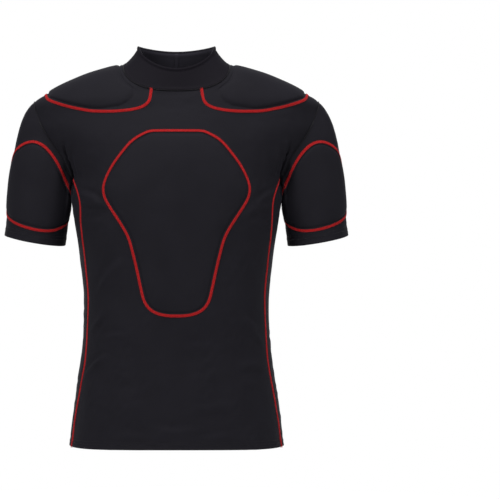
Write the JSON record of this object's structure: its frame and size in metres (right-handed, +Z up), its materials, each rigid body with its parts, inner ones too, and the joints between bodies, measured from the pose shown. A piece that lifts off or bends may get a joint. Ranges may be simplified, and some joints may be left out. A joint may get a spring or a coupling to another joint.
{
  "type": "padded compression shirt",
  "caption": "Short-sleeved padded compression shirt with a stand collar, shown filled out, with foam pads on the chest, shoulders and upper arms.",
  "frame": {"origin": "on the middle line at the height where the shirt hangs on the wearer's shoulders", "axes": "+X to the wearer's left, +Y to the wearer's back, +Z up along the body"},
  "size_m": [0.5684, 0.2592, 0.6515],
  "materials": {
    "cloth": "smooth matte stretch knit",
    "pad": "matte stretch knit over foam"
  },
  "bodies": {
    "root": {"front_panel": "cloth", "back_panel": "cloth", "side_panel_left": "cloth", "side_panel_right": "cloth", "sleeve_left": "cloth", "sleeve_right": "cloth", "collar": "cloth", "chest_pad": "pad", "shoulder_pad_left": "pad", "shoulder_pad_right": "pad", "bicep_pad_left": "pad", "bicep_pad_right": "pad"}
  },
  "joints": []
}
